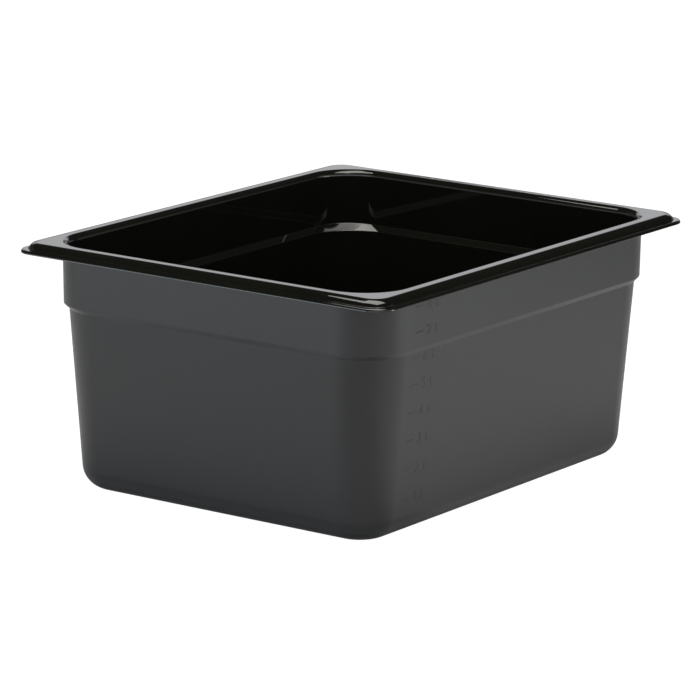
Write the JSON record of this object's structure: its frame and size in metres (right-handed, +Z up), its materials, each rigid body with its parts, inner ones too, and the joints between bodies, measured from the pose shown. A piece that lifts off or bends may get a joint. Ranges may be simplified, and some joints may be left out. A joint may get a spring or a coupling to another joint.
{
  "type": "deli food pan",
  "caption": "Half-size deli food pan: one thin-walled moulding with a raised flat rim, outer flange, stacking shoulder, tapered sides and a raised litre scale on one wall.",
  "frame": {"origin": "centre of the flat underside of the base, at rest height", "axes": "+Z up, +Y along the long rim side, +X across, towards the side wall that carries the litre scale"},
  "size_m": [0.265, 0.325, 0.15],
  "materials": {
    "pan": "black polycarbonate, polished inside and on the rim, fine matt grain on the outside walls and base"
  },
  "bodies": {
    "root": {"pan": "pan"}
  },
  "joints": []
}
